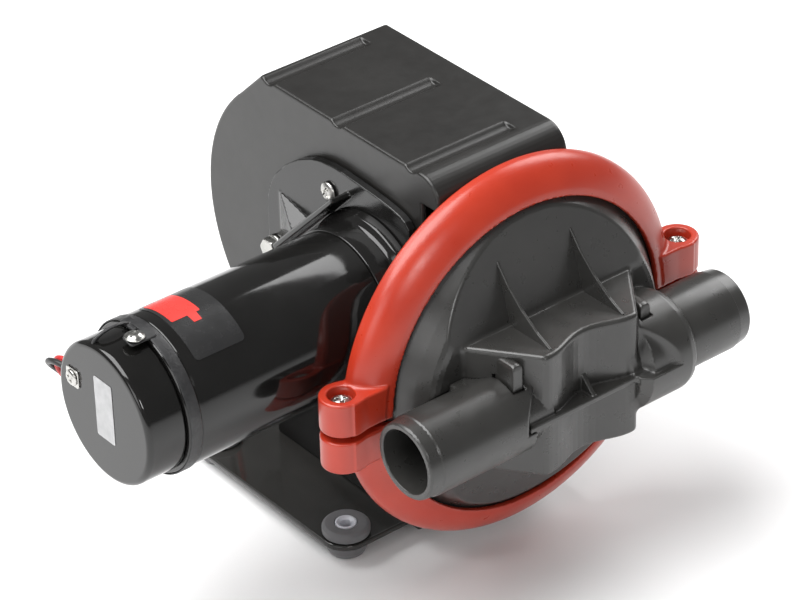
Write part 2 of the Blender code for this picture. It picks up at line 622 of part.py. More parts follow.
def motor_bracket():
    """Upright steel plate with a foot, a bearing boss, a sloping ledge and its brace."""
    side = [(32, -95.7), (138, -95.7), (138, 34), (134, 46), (127, 55), (118, 63), (108, 69), (97, 73),
            (82, 74.3), (54, 72.6), (40, 70.3), (34, 66)]
    plate = finish("motor_bracket", prism(side, "X", -39.8, -35.8), BLACK_PAINT, smooth=False)
    add(plate, box(-38, -14, 72, 136, -95.7, -92))
    add(plate, rod("X", (CRANK_Y, 0), 18, -37, -28.9, 24))
    slope = math.radians(45)
    outline = []
    for along, out in ((-20, 40.8), (45, 40.8), (45, 43.4), (-20, 43.4)):
        outline.append((MOTOR_Y + (out + along) * math.cos(slope), MOTOR_Z + (out - along) * math.sin(slope)))
    add(plate, prism(outline, "X", -50, -38.5))
    brace = bmesh.new()
    corners = [(-38.6, 131, 45), (-38.6, 131, 21), (-38.6, 104, 38), (-48.5, 108, 33)]
    a, b, c, d = [brace.verts.new(p) for p in corners]
    for face in ((a, b, c), (a, b, d), (b, c, d), (a, c, d)):
        brace.faces.new(face)
    add(plate, brace)
    cut(plate, rod("X", (CRANK_Y, 0), 14.2, -38.1, -28, 20), rod("X", (MOTOR_Y, MOTOR_Z), 13.0, -42, -34, 20),
        rod("X", COVER_SCREW, 2.5, -42, -34, 10), rod("X", BRACKET_BOLT, 3.4, -42, -34, 10))
    cut(plate, *[rod("Z", (x, y), 2.8, -97, -90, 10) for x, y in ((-24, 82), (-24, 126))])


COVER_SCREW = (90.0, 60.5)
BRACKET_BOLT = (132.0, 11.5)


def cover_outline(inset, low, front_step):
    """Side view of the belt cover: flat top, round back, open foot."""
    top = COVER_TOP - inset
    radius = BACK_R - inset
    pts = [(BACK_EDGE - inset, top)] + arc(BACK[0], BACK[1], radius, 50, -38, 24)
    pts.append((155 - inset, low))
    pts += [(30 + inset, low), (30 + inset, front_step)]
    pts += [(18.2 + inset, front_step)]
    corner = 12.5 - min(inset, 3)
    pts += arc(18.2 + inset + corner, top - corner, corner, 180, 90, 6)
    return pts


def belt_cover():
    shell = finish("belt_cover", prism(cover_outline(0, -60, 81.5), "X", COVER_X0, COVER_X1), BLACK_PLASTIC)
    cut(shell, prism(cover_outline(3.0, -66, 79), "X", COVER_X0 + 2.5, COVER_X1 - 2.5))
    cut(shell, box(COVER_X0 + 2.5, COVER_X1 - 2.5, 15, 34, -70, 81.0))
    opening = [(44, -70), (138.5, -70), (138.5, 22), (128, 34), (100, 40), (44, 40)]
    cut(shell, prism(opening, "X", COVER_X0 - 1, COVER_X0 + 3.5))
    grooves = []
    for y in (37.0, 89.0, 139.0):
        grooves.append(rod("X", (y, COVER_TOP + 3.2), 5.2, COVER_X0 - 1, 23, 12))
    cut(shell, *grooves)
    cut(shell, rod("X", COVER_SCREW, 2.5, COVER_X0 - 1, COVER_X0 + 4, 10))
    y, z = COVER_SCREW
    head = [(-43.4, 0), (-43.4, 2.6), (-42.2, 4.6), (-40.1, 5.0), (-40.1, 2.2), (-31.5, 2.2), (-31.5, 0)]
    finish("cover_screw", turned(head, "X", (y, z), 12), STEEL)
    y, z = BRACKET_BOLT
    bolt = finish("bracket_bolt", prism(hexagon(y, z, 10.0), "X", -45.6, -40.1), STEEL, smooth=False)
    add(bolt, rod("X", (y, z), 3.0, -42, -36, 12))


# ---------------------------------------------------------------- motor leads
LEAD_R = 1.4
LEAD_ROUTE = [(-181, 93.6, 27), (-182.3, 102, 26.5), (-180, 109.5, 20), (-173, 108.5, 9), (-160, 104.5, -1),
              (-120, 103, -10), (-92, 107, -22), (-72, 122, -42), (-58, 146, -68), (-46, 167, -90),
              (-26, 187, -104.4), (8, 197, -104.5), (42, 197, -104.5), (70, 189, -104.5)]


def leads():
    """Two loose motor leads side by side, from the end cap down to the ground behind the pump."""
    centre = smooth_route(LEAD_ROUTE, 8.5)
    for name, look, offset in (("lead_black", BLACK_WIRE, -1.8), ("lead_red", RED_WIRE, 1.8)):
        points = []
        for i, point in enumerate(centre):
            ahead = centre[min(i + 1, len(centre) - 1)] - centre[max(i - 1, 0)]
            side = Vector((ahead.y, -ahead.x, 0)).normalized()
            spot = point + side * offset
            spot.z = max(spot.z, GROUND + LEAD_R + 0.1)
            points.append(spot)
        tube_along(name, points, LEAD_R, look)


base()
base_screws()
clamp()
front_cover()
ports()
valve("inlet_valve", -52.7, -50.3, -44, -25, 15.8, 12.2)
valve("outlet_valve", 34.6, 36.9, 44, 62, 18.6, 13.2)
pump_body()
diaphragm()
crank_train()
connecting_rod()
belt()
motor()
motor_bracket()
belt_cover()
leads()
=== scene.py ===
"""Looks of the motor-driven diaphragm bilge pump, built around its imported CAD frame.

Shapes are written in working millimetres, the CAD's own: X runs along the hose ports
and the motor, -Y is the front and +Z is up, from the centre of the clamp ring's front
face. SHIFT, read from the frame, moves them to the row frame. Most moulded pieces are
distance fields (negative inside) turned into meshes, so that edges and fillets are real.
"""
import math

import bmesh
import bpy
import numpy as np
from mathutils import Matrix, Vector

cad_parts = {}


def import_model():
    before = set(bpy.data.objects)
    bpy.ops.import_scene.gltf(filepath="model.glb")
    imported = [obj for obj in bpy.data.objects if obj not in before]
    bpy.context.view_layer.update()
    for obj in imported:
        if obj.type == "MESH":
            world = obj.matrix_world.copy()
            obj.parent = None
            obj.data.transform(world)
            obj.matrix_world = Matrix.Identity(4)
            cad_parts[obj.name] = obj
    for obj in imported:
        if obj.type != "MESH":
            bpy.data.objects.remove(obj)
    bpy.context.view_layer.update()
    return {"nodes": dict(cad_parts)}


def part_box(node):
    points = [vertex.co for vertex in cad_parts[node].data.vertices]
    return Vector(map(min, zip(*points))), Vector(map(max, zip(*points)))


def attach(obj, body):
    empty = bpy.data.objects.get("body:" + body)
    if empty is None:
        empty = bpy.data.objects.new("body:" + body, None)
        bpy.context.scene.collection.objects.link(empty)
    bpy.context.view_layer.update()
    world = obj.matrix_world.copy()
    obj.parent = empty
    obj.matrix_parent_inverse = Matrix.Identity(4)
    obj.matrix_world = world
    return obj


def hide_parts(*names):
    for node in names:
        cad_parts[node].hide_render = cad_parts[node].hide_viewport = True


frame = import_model()
for old in [o for o in bpy.data.objects if o.type in ("LIGHT", "CAMERA")]:
    bpy.data.objects.remove(old, do_unlink=True)

# Datums in working millimetres. A pair is (y, z) unless it says otherwise.
MM = 0.001
GROUND = -106.0
PORT = (-27.0, 0.0)  # the two ports' axis, along X
CRANK = (118.0, 0.0)
CRANK_END = 37.8  # the crankshaft's left end stands this far left of x 0
MOTOR = (60.0, 22.0)
COVER_SCREW = (90, 60.5)
BRACKET_BOLT = (132, 11.5)
CAP_SCREW = (81, 31)
LUG_X, LUG_Y = 98.3, 10  # a clamp lug's screw, either side
LOCK_X = 37  # a port lock's middle, either side
CAN_R, CAN_BORE = 35.5, 32.9
CAP_R, CAP_END = 33.5, -187.8
PLATE_Z = (-99, -96)  # the base plate's two faces
SEAT_Z = -95.7  # what stands on the plate starts here
BENCH_SCREWS = ((-24, 82), (-24, 126), (-26, 56), (36, 56))  # (x, y) in the base plate
FEET = {"front_left": (-65, 54), "front_right": (65, 54),
        "rear_left": (-65, 152), "rear_right": (65, 152)}  # (x, y)
_low, _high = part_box("crankshaft")
SHIFT = np.array([_low.x / MM + CRANK_END, (_low.y + _high.y) / 2 / MM - CRANK[0],
                  (_low.z + _high.z) / 2 / MM - CRANK[1]])


def world(p):
    """A working point in the row frame, in metres."""
    return Vector([(p[i] + SHIFT[i]) * MM for i in range(3)])


# ------------------------------------------------------------ distance fields
def poly(u, v, pts):
    """Signed distance to a closed outline, negative inside."""
    pts = [np.array(p, float) for p in pts]
    best = None
    sign = 1.0
    for i, b in enumerate(pts):
        a = pts[i - 1]
        ex, ey = a - b
        wu, wv = u - b[0], v - b[1]
        t = np.clip((wu * ex + wv * ey) / (ex * ex + ey * ey), 0, 1)
        d = (wu - ex * t) ** 2 + (wv - ey * t) ** 2
        best = d if best is None else np.minimum(best, d)
        up, below = v >= b[1], v < a[1]
        left = ex * wv > ey * wu
        flip = (up & below & left) | (~up & ~below & ~left)
        sign = np.where(flip, -sign, sign)
    return sign * np.sqrt(best)


def slab(w, low, high):
    """The layer between two values of w."""
    return np.abs(w - (low + high) / 2) - (high - low) / 2


def meet(a, b, r=0.0):
    """Intersection with a rounded edge."""
    if r <= 0:
        return np.maximum(a, b)
    corner = np.hypot(np.maximum(r + a, 0), np.maximum(r + b, 0))
    return np.minimum(-r, np.maximum(a, b)) + corner


def join(a, b, r=0.0):
    """Union with a fillet."""
    if r <= 0:
        return np.minimum(a, b)
    corner = np.hypot(np.maximum(r - a, 0), np.maximum(r - b, 0))
    return np.maximum(r, np.minimum(a, b)) - corner


def carve(a, b, r=0.0):
    """a without b."""
    return meet(a, -b, r)


def brick(x, y, z, x0, x1, y0, y1, z0, z1, r=0.0):
    """A block between two corners."""
    return meet(meet(slab(x, x0, x1), slab(y, y0, y1), r), slab(z, z0, z1), r)


def about(u, v, centre):
    """Distance from an axis that passes through centre."""
    return np.hypot(u - centre[0], v - centre[1])


def hexagon(u, v, half):
    """A hexagon of that half width across its flats."""
    flats = np.maximum(np.abs(0.866 * u + 0.5 * v), np.abs(0.866 * u - 0.5 * v))
    return np.maximum(np.abs(v), flats) - half


def arc(cx, cy, radius, a0, a1, steps):
    """Points round a circle, in degrees."""
    out = []
    for i in range(steps + 1):
        a = math.radians(a0 + (a1 - a0) * i / steps)
        out.append((cx + radius * math.cos(a), cy + radius * math.sin(a)))
    return out


def gradient(field, p, h=0.05):
    """A field's slope at many points, over twice the step h."""
    out = np.zeros_like(p)
    for k in range(3):
        hi, lo = p.copy(), p.copy()
        hi[:, k] += h
        lo[:, k] -= h
        out[:, k] = (field(*hi.T) - field(*lo.T)) / (2 * h)
    return out


def skin(field, low, high, cell):
    """Surface-net mesh of a distance field: points, quads and unit normals."""
    low = np.array(low, float)
    n = np.ceil((np.array(high, float) - low) / cell).astype(int) + 1
    axes = [low[k] + cell * np.arange(n[k]) for k in range(3)]
    f = field(axes[0][:, None, None], axes[1][None, :, None], axes[2][None, None, :])
    f = np.broadcast_to(f, tuple(n)).astype(np.float32)
    neg = f < 0
    s = [slice(0, -1), slice(1, None)]
    count = sum(neg[s[i], s[j], s[k]].astype(np.int8)
                for i in (0, 1) for j in (0, 1) for k in (0, 1))
    at = np.argwhere((count > 0) & (count < 8))
    ids = np.full(tuple(n - 1), -1, np.int64)
    ids[tuple(at.T)] = np.arange(len(at))
    total = np.zeros((len(at), 3))
    hits = np.zeros(len(at))
    for axis in range(3):
        for p in (0, 1):
            for q in (0, 1):
                off = np.insert(np.array([p, q]), axis, 0)
                step = np.eye(3, dtype=int)[axis]
                a = f[tuple((at + off).T)].astype(float)
                b = f[tuple((at + off + step).T)].astype(float)
                cross = (a < 0) != (b < 0)
                t = np.where(cross, a / np.where(cross, a - b, 1), 0)
                total += cross[:, None] * (off + t[:, None] * step)
                hits += cross
    pts = low + (at + total / hits[:, None]) * cell
    quads = []
    for axis in range(3):
        u, v = (axis + 1) % 3, (axis + 2) % 3
        lo = [slice(None)] * 3
        hi = [slice(None)] * 3
        lo[axis], hi[axis] = slice(0, -1), slice(1, None)
        a, b = neg[tuple(lo)], neg[tuple(hi)]
        e = np.argwhere(a != b)
        e = e[(e[:, u] > 0) & (e[:, v] > 0) & (e[:, u] < n[u] - 1) & (e[:, v] < n[v] - 1)]
        inside = a[tuple(e.T)]
        du, dv = np.eye(3, dtype=int)[u], np.eye(3, dtype=int)[v]
        ring = np.stack([ids[tuple((e - o).T)] for o in (du + dv, dv, 0 * du, du)], 1)
        quads.append(np.where(inside[:, None], ring, ring[:, ::-1]))
    quads = np.concatenate(quads)
    for _ in range(3):
        g = gradient(field, pts)
        size = np.maximum((g * g).sum(1), 0.3)
        move = field(*pts.T)[:, None] * g / size[:, None]
        pts = pts - np.clip(move, -0.6 * cell, 0.6 * cell)
    g = gradient(field, pts)
    g /= np.maximum(np.linalg.norm(g, axis=1), 1e-6)[:, None]
    return pts, quads, g


# ------------------------------------------------------------ objects
def put(name, pts, quads, normals, look, **rest):
    """A piece from working points, quads and unit normals."""
    mesh = bpy.data.meshes.new(name)
    mesh.vertices.add(len(pts))
    mesh.vertices.foreach_set("co", ((pts + SHIFT) * MM).astype(np.float32).ravel())
    mesh.loops.add(quads.size)
    mesh.loops.foreach_set("vertex_index", quads.ravel().astype(np.int32))
    mesh.polygons.add(len(quads))
    starts = np.arange(0, quads.size, quads.shape[1], dtype=np.int32)
    mesh.polygons.foreach_set("loop_start", starts)
    mesh.update(calc_edges=True)
    mesh.validate()
    mesh.polygons.foreach_set("use_smooth", np.ones(len(mesh.polygons), bool))
    mesh.normals_split_custom_set_from_vertices(normals.tolist())
    keep(name, mesh, look, **rest)


def keep(name, mesh, look, body="root", cad=(), slot=None):
    """Link a mesh as a piece with its look, its body and what it stands for."""
    obj = bpy.data.objects.new(name, mesh)
    bpy.context.scene.collection.objects.link(obj)
    mesh.materials.append(look)
    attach(obj, body)
    if cad:
        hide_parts(*cad)


def solid(name, field, low, high, cell, look, **rest):
    """A piece from a distance field inside the box low to high."""
    pts, quads, normals = skin(field, low, high, cell)
    put(name, pts, quads, normals, look, **rest)


def soften(profile, steps=4):
    """Round the corners of a closed (along, radius, corner radius) profile."""
    out = []
    n = len(profile)
    for i in range(n):
        p = np.array(profile[i][:2], float)
        r = profile[i][2] if len(profile[i]) > 2 else 0.0
        a = np.array(profile[i - 1][:2], float) - p
        b = np.array(profile[(i + 1) % n][:2], float) - p
        la, lb = np.linalg.norm(a), np.linalg.norm(b)
        if r <= 0 or la < 1e-6 or lb < 1e-6:
            out.append(tuple(p))
            continue
        a, b = a / la, b / lb
        half = math.acos(max(-1, min(1, float(a @ b)))) / 2
        back = min(r / math.tan(half), 0.49 * la, 0.49 * lb)
        r = back * math.tan(half)
        centre = p + (a + b) / np.linalg.norm(a + b) * (r / math.sin(half))
        s, e = p + a * back - centre, p + b * back - centre
        turn = math.atan2(s[0] * e[1] - s[1] * e[0], float(s @ e))
        for k in range(steps + 1):
            t = turn * k / steps
            c, w = math.cos(t), math.sin(t)
            out.append((centre[0] + s[0] * c - s[1] * w, centre[1] + s[0] * w + s[1] * c))
    return out


def lathe(name, profile, axis, centre, look, steps=96, **rest):
    """Turn a closed profile of (along, radius, corner radius) about an axis through centre."""
    pts = soften(profile)
    verts = []
    faces = []
    rows = []
    for along, radius in pts:
        row = []
        for i in range(1 if radius < 1e-6 else steps):
            a = 2 * math.pi * i / steps
            u, v = centre[0] + radius * math.cos(a), centre[1] + radius * math.sin(a)
            spot = {"X": (along, u, v), "Y": (u, along, v), "Z": (u, v, along)}[axis]
            row.append(len(verts))
            verts.append(world(spot))
        rows.append(row * steps if len(row) == 1 else row)
    for k in range(len(rows)):
        a, b = rows[k], rows[(k + 1) % len(rows)]
        if a[0] == a[-1] and b[0] == b[-1]:
            continue
        for i in range(steps):
            j = (i + 1) % steps
            quad = []
            for w in (a[i], a[j], b[j], b[i]):
                if w not in quad:
                    quad.append(w)
            faces.append(quad)
    mesh = bpy.data.meshes.new(name)
    mesh.from_pydata(verts, [], faces)
    tidy_normals(mesh)
    keep(name, mesh, look, **rest)


def tidy_normals(mesh, sharp=32):
    """Weld a mesh, point its faces outward and shade it smooth up to the sharp angle."""
    bm = bmesh.new()
    bm.from_mesh(mesh)
    bmesh.ops.remove_doubles(bm, verts=bm.verts, dist=1e-6)
    bmesh.ops.recalc_face_normals(bm, faces=bm.faces)
    bm.to_mesh(mesh)
    bm.free()
    mesh.shade_smooth()
    mesh.set_sharp_from_angle(angle=math.radians(sharp))


# ------------------------------------------------------------ materials
def tree(name):
    """A new material with its node tree and its Principled node."""
    mat = bpy.data.materials.new(name)
    mat.use_nodes = True
    nt = mat.node_tree
    return mat, nt, nt.nodes["Principled BSDF"]


def noise(nt, scale, detail, rough=0.55, stretch=None):
    """Noise in the piece's own space, stretched along an axis where asked."""
    coord = nt.nodes.new("ShaderNodeTexCoord")
    tex = nt.nodes.new("ShaderNodeTexNoise")
    tex.inputs["Scale"].default_value = scale
    tex.inputs["Detail"].default_value = detail
    tex.inputs["Roughness"].default_value = rough
    if stretch:
        mapping = nt.nodes.new("ShaderNodeMapping")
        mapping.inputs["Scale"].default_value = stretch
        nt.links.new(coord.outputs["Object"], mapping.inputs["Vector"])
        nt.links.new(mapping.outputs["Vector"], tex.inputs["Vector"])
    else:
        nt.links.new(coord.outputs["Object"], tex.inputs["Vector"])
    return tex.outputs["Fac"]


def ramp(nt, fac, low, high):
    """The middle of a noise's range spread from low to high."""
    node = nt.nodes.new("ShaderNodeMapRange")
    node.inputs["From Min"].default_value = 0.3
    node.inputs["From Max"].default_value = 0.7
    node.inputs["To Min"].default_value = low
    node.inputs["To Max"].default_value = high
    nt.links.new(fac, node.inputs["Value"])
    return node.outputs["Result"]


def blend(nt, fac, a, b):
    """A colour from a at 0 to b at 1."""
    node = nt.nodes.new("ShaderNodeMix")
    node.data_type = "RGBA"
    node.inputs[6].default_value = (*a, 1)
    node.inputs[7].default_value = (*b, 1)
    nt.links.new(fac, node.inputs[0])
    return node.outputs[2]


def surface(name, dark, light, rough, grain, bump, depth, patch=35.0, metal=0.0, stretch=None,
            specular=0.5, sheen=0.0):
    """Base material: two close tones in soft patches, uneven gloss and a fine grain."""
    mat, nt, bsdf = tree(name)
    wide = noise(nt, patch, 3)
    fine = noise(nt, grain, 3, 0.6, stretch)
    nt.links.new(blend(nt, ramp(nt, wide, 0, 1), dark, light), bsdf.inputs["Base Color"])
    mid = noise(nt, patch * 4.3, 4)
    nt.links.new(ramp(nt, mid, rough[0], rough[1]), bsdf.inputs["Roughness"])
    lump = nt.nodes.new("ShaderNodeBump")
    lump.inputs["Strength"].default_value = bump
    lump.inputs["Distance"].default_value = depth
    nt.links.new(fine, lump.inputs["Height"])
    nt.links.new(lump.outputs["Normal"], bsdf.inputs["Normal"])
    bsdf.inputs["Metallic"].default_value = metal
    bsdf.inputs["Specular IOR Level"].default_value = specular
    bsdf.inputs["Sheen Weight"].default_value = sheen
    return mat


RED = surface("red_plastic_look", (0.38, 0.026, 0.010), (0.44, 0.034, 0.013),
              rough=(0.27, 0.34), grain=700, bump=0.04, depth=0.0001, specular=0.6)
CHARCOAL = surface("charcoal_plastic_look", (0.023, 0.0224, 0.0212), (0.032, 0.0312, 0.0292),
                   rough=(0.26, 0.34), grain=380, bump=0.05, depth=0.0001, specular=0.65)
SATIN = surface("satin_plastic_look", (0.012, 0.0114, 0.0106), (0.0165, 0.0158, 0.0148),
                rough=(0.30, 0.36), grain=1000, bump=0.08, depth=0.0001)
GLOSS = surface("gloss_paint_look", (0.006, 0.0058, 0.0055), (0.009, 0.0088, 0.0085),
                rough=(0.07, 0.12), grain=160, bump=0.05, depth=0.0002)
PLATE = surface("plate_paint_look", (0.018, 0.0175, 0.0162), (0.025, 0.0243, 0.0226),
                rough=(0.10, 0.16), grain=240, bump=0.06, depth=0.0002)
BRACKET = surface("bracket_paint_look", (0.007, 0.0068, 0.0065), (0.011, 0.0108, 0.0105),
                  rough=(0.15, 0.22), grain=320, bump=0.08, depth=0.0002)
STRAP = surface("strap_look", (0.016, 0.016, 0.017), (0.03, 0.03, 0.031),
                rough=(0.28, 0.5), grain=700, bump=0.5, depth=0.0004, patch=160)
RUBBER = surface("rubber_look", (0.095, 0.094, 0.098), (0.125, 0.124, 0.128),
                 rough=(0.55, 0.7), grain=900, bump=0.25, depth=0.0002, sheen=0.2)
STEEL = surface("bright_steel_look", (0.42, 0.42, 0.40), (0.52, 0.51, 0.49),
                rough=(0.2, 0.34), grain=900, bump=0.12, depth=0.0001, metal=1.0, stretch=(1, 1, 6))
CAST = surface("cast_look", (0.42, 0.42, 0.42), (0.52, 0.52, 0.52),
               rough=(0.42, 0.6), grain=700, bump=0.35, depth=0.0004, metal=0.9)
IRON = surface("iron_look", (0.2, 0.19, 0.18), (0.28, 0.27, 0.26),
               rough=(0.4, 0.6), grain=900, bump=0.3, depth=0.0004, metal=0.8, stretch=(12, 1, 1))
COPPER = surface("copper_look", (0.62, 0.30, 0.17), (0.75, 0.38, 0.23),
                 rough=(0.25, 0.4), grain=700, bump=0.2, depth=0.0002, metal=1.0, stretch=(1, 8, 8))
FERRITE = surface("ferrite_look", (0.045, 0.045, 0.05), (0.065, 0.065, 0.07),
                  rough=(0.6, 0.8), grain=900, bump=0.3, depth=0.0003)
CARBON = surface("carbon_look", (0.035, 0.035, 0.035), (0.055, 0.055, 0.055),
                 rough=(0.5, 0.7), grain=1200, bump=0.3, depth=0.0002)
VALVE = surface("valve_rubber_look", (0.03, 0.03, 0.034), (0.045, 0.045, 0.05),
                rough=(0.5, 0.65), grain=900, bump=0.2, depth=0.0002)
RED_WIRE = surface("red_wire_look", (0.45, 0.02, 0.02), (0.55, 0.03, 0.03),
                   rough=(0.35, 0.45), grain=900, bump=0.1, depth=0.0001)
BLACK_WIRE = surface("black_wire_look", (0.014, 0.014, 0.014), (0.022, 0.022, 0.022),
                     rough=(0.35, 0.45), grain=900, bump=0.1, depth=0.0001)
LABEL = surface("label_look", (0.016, 0.016, 0.0165), (0.022, 0.022, 0.022),
                rough=(0.22, 0.3), grain=1500, bump=0.08, depth=0.0001)
LABEL_RED = surface("label_red_look", (0.62, 0.035, 0.03), (0.68, 0.05, 0.04),
                    rough=(0.25, 0.33), grain=1500, bump=0.06, depth=0.0001)
PAPER = surface("paper_look", (0.36, 0.36, 0.365), (0.44, 0.44, 0.445),
                rough=(0.4, 0.55), grain=2500, bump=0.12, depth=0.0001, patch=220)
INSERT = surface("insert_look", (0.48, 0.49, 0.53), (0.58, 0.59, 0.63),
                 rough=(0.3, 0.45), grain=900, bump=0.15, depth=0.0001)
FLOOR = surface("floor_look", (0.87, 0.87, 0.87), (0.89, 0.89, 0.89),
                rough=(0.6, 0.7), grain=60, bump=0.02, depth=0.0003, patch=3)


# ------------------------------------------------------------ valve cover, tails and keys
FACE_Y = -12.7
TAIL_R = 19
WEB_X = 21  # a gusset's middle, either side
# The valve cover's turned outline as (y, radius)
COVER_PROFILE = [(FACE_Y, 0), (FACE_Y, 63.2), (-11.9, 65.6), (-10.4, 67.3), (-5, 71), (1, 74.8),
                 (3.6, 76.8), (7.45, 84.8), (8.4, 84.8), (8.4, 0)]


def slope(y, z, offset=0.0):
    """The two flat sloping walls above and below the valve block."""
    return ((FACE_Y + offset + 0.315 * (np.abs(z) - 32)) - y) * 0.9538


def block_plan():
    """The valve block from above: two rounded lobes with a waist between them."""
    left = arc(-24.6, -38.4, 3.9, 222, 270, 5)
    waist = []
    for i in range(15):
        x = -23.0 + 46.0 * i / 14
        waist.append((x, -42.3 + 6.0 * math.cos(math.radians(x / 24 * 90)) ** 2))
    right = arc(24.6, -38.4, 3.9, 270, 318, 5)
    return [(-50, -9), (-50, -11)] + left + waist + right + [(50, -11), (50, -9)]


def cover_field(x, y, z):
    """The valve cover: dish, valve block, shelf, both collars and the bores."""
    rho = np.hypot(x, z)
    rc = about(y, z, PORT)
    d = meet(poly(y, rho, COVER_PROFILE), slope(y, z), 0.7)
    d = carve(d, meet(rc - (TAIL_R + 0.3), x + 30), 0.6)
    block = meet(poly(x, y, block_plan()), slab(z, -31, 32), 1.9)
    d = join(d, block, 1.6)
    shelf_plan = [(-29.4, -37.5), (-38.9, -45.5), (38, -45.5), (38, -14), (-20, -14), (-20, -37.5)]
    shelf = meet(poly(x, y, shelf_plan), slab(z, -1.3, 1.3), 0.5)
    d = join(d, shelf, 0.5)
    rib = meet(slab(x, -1.1, 1.1), meet(slab(y, -45.6, -33), slab(z, -9, 9), 0.4), 0.4)
    d = join(d, meet(rib, (np.abs(z) - y - 45.5) * 0.9, 0.4), 0.4)
    collar = poly(x, rc, [(24, 0), (24, 20.5), (28, 24.5), (51.5, 24.5), (54.4, 23.6),
                          (56.2, 21.9), (57, 20.4), (57, 0)])
    slant = meet(poly(x, y, [(20, -30), (27, -36), (39, -46), (50, -55), (20, -70)]), 1.3 - z)
    collar = carve(collar, slant, 0.5)
    sleeve = poly(x, rc, [(24, 0), (24, 16.0), (29.2, 16.0), (32.2, 21.2), (52, 21.2), (52, 0)])
    collar = join(collar, sleeve, 1.5)
    d = join(d, collar, 2.2)
    spigot = meet(rc - 15.9, slab(x, -50, -22), 0.3)
    d = join(d, spigot)
    hollow = poly(y, rho, [(12, 0), (12, 71.6), (1, 71.2), (-5, 67.4), (-9.6, 62), (-9.6, 0)])
    hollow = meet(hollow, slope(y, z, 3.2))
    hollow = meet(hollow, -meet(rc - 21.6, 23 - np.abs(x)))
    right = poly(x, y, [(2, -9), (2, -32.5), (14, -35.5), (22, -38.5), (27, -33.5), (44, -13.5),
                        (44, -9)])
    left = poly(x, y, [(-2, -9), (-2, -32.5), (-14, -35.5), (-19, -37.5), (-22, -33.5), (-22, -9)])
    rooms = meet(join(right, left), slab(z, -27, 28))
    d = carve(d, join(hollow, rooms))
    bores = join(meet(rc - 14.0, slab(x, 20, 35)), meet(rc - (TAIL_R + 0.35), slab(x, 34, 96)))
    bores = join(bores, meet(rc - 12.6, slab(x, -51, -20)))
    d = carve(d, bores, 0.3)
    slots = join(brick(x, y, z, 33.7, 40.3, -36.3, -23.7, 16.6, 30),
                 brick(x, y, z, -40.3, -33.7, -36.3, -22, 14.6, 20))
    return carve(d, slots, 0.2)


def inlet_field(x, y, z):
    """The inlet's hose tail with the square shoulder that sits on the cover."""
    rc = about(y, z, PORT)
    tube = poly(x, rc, [(-93.4, -5), (-93.4, 17.3), (-92.6, 18.0), (-87.0, 18.6), (-86.4, TAIL_R),
                        (-20, TAIL_R), (-20, -5)])
    shoulder = meet(meet(slab(x, -57.2, -16), slab(z, -17, 17), 1.6), slab(y, PORT[0], -12.6), 1.6)
    d = join(tube, shoulder, 0.8)
    upper = [(-53.2, -8), (-28.9, -36.5), (-40.2, -46.2), (-47, -51), (0, -60), (0, -8)]
    lower = [(-53.2, -8), (-34.3, -30.2), (-34.3, -60), (0, -60), (0, -8)]
    d = carve(d, meet(poly(x, y, upper), -1.6 - z), 0.5)
    d = carve(d, meet(poly(x, y, lower), z + 1.1), 0.5)
    bore = join(meet(rc - 15, slab(x, -99, -52)), meet(rc - 16.2, slab(x, -53, -10)))
    d = carve(d, bore, 0.5)
    return carve(d, brick(x, y, z, -40.3, -33.7, -36.3, -20.5, 11.7, 30), 0.3)


def key_field(side):
    """The key that locks a tail in its collar: -1 the inlet's, 1 the outlet's."""
    back, low = (-22.3, 15.0) if side < 0 else (-24.0, 17.5)
    middle, half = side * LOCK_X, 3.0
    inner, outer = middle - side * half, middle + side * half
    plan = [(inner, -30.5), (inner, -36), (outer, -36), (outer, back)]
    outline = [(middle - half, low), (middle + half, low)] + arc(middle, 26.5, half, 0, 180, 10)

    def field(x, y, z):
        arch = poly(x, z, outline)
        front = poly(y, z, [(-36, low), (-20, low), (-20, 29.5), (-33.5, 29.5), (-35.3, 28.7),
                            (-36, 27)])
        return meet(meet(arch, poly(x, y, plan), 0.9), front, 0.9)

    return field


def web_field(side):
    """Thin gusset between the valve block's top and the sloping wall."""
    def field(x, y, z):
        web = poly(y, z, [(-11.4, 31), (-38.9, 31), (-38.9, 32.4), (-30, 36.6), (-20, 43.3),
                          (-10.5, 52), (-3.4, 61), (-1.6, 62.5)])
        return meet(web, slab(x, side * WEB_X - 0.7, side * WEB_X + 0.7), 0.45)

    return field


def merged(*parts):
    """Several closed skins as one set of points, quads and normals."""
    offset = 0
    points, quads, normals = [], [], []
    for p, q, n in parts:
        points.append(p)
        quads.append(q + offset)
        normals.append(n)
        offset += len(p)
    return np.concatenate(points), np.concatenate(quads), np.concatenate(normals)


webs = [skin(web_field(side), (side * WEB_X - 1.5, -40, 30), (side * WEB_X + 1.5, 1, 63), 0.35)
        for side in (-1, 1)]
put("front_cover_visual", *merged(skin(cover_field, (-87, -54, -87), (87, 11, 87), 0.9), *webs),
    CHARCOAL, cad=["front_cover"], slot="charcoal_plastic")
solid("inlet_port_visual", inlet_field, (-95, -49, -21), (-15, -6, 21), 0.85, CHARCOAL,
      cad=["inlet_port"], slot="charcoal_plastic")
lathe("outlet_port_visual",
      [(37.2, 15), (37.2, 17.3, 0.3), (40.3, 17.3, 0.2), (40.3, TAIL_R, 0.5), (86.2, TAIL_R, 0.15),
       (86.4, 18.75, 0.1), (92.4, 18.0, 0.5), (93.4, 17.2, 0.7), (93.4, 15, 0.8)],
      "X", PORT, CHARCOAL, cad=["outlet_port"], slot="charcoal_plastic")
for side, word in ((-1, "inlet_lock"), (1, "outlet_lock")):
    middle = side * LOCK_X
    solid(word + "_visual", key_field(side), (middle - 4.5, -37.5, 14), (middle + 4.5, -22, 31),
          0.4, CHARCOAL, cad=[word], slot="charcoal_plastic")


